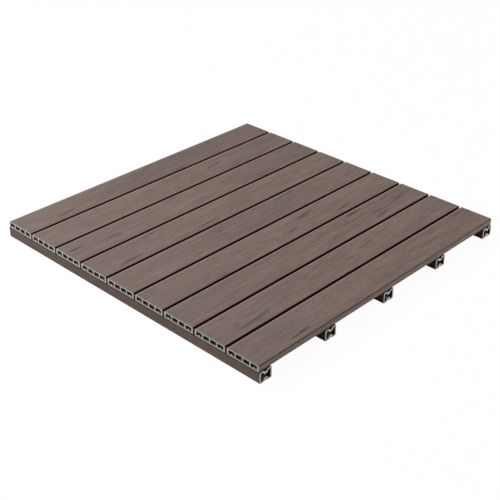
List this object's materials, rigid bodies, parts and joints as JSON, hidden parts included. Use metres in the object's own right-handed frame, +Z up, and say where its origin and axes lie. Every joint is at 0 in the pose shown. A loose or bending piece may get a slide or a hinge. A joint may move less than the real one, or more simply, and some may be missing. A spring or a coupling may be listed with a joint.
{
  "type": "deck floor panel",
  "caption": "Square outdoor floor panel of hollow composite boards laid with open gaps across hollow joists and screwed up from below.",
  "frame": {"origin": "centre of the panel on the plane that the joists stand on", "axes": "+X along the boards, +Y along the joists, +Z up through the walking surface"},
  "size_m": [1.279, 1.287, 0.067],
  "materials": {
    "board": "brushed brown wood-plastic composite with a light grey cut face",
    "joist": "plain extruded dark brown wood-plastic composite with a light grey cut face",
    "screw": "plain stainless steel"
  },
  "bodies": {
    "root": {"board_1": "board", "board_2": "board", "board_3": "board", "board_4": "board", "board_5": "board", "board_6": "board", "board_7": "board", "board_8": "board", "board_9": "board", "joist_1": "joist", "joist_2": "joist", "joist_3": "joist", "joist_4": "joist", "joist_5": "joist", "screws_joist_1": "screw", "screws_joist_2": "screw", "screws_joist_3": "screw", "screws_joist_4": "screw", "screws_joist_5": "screw"}
  },
  "joints": []
}
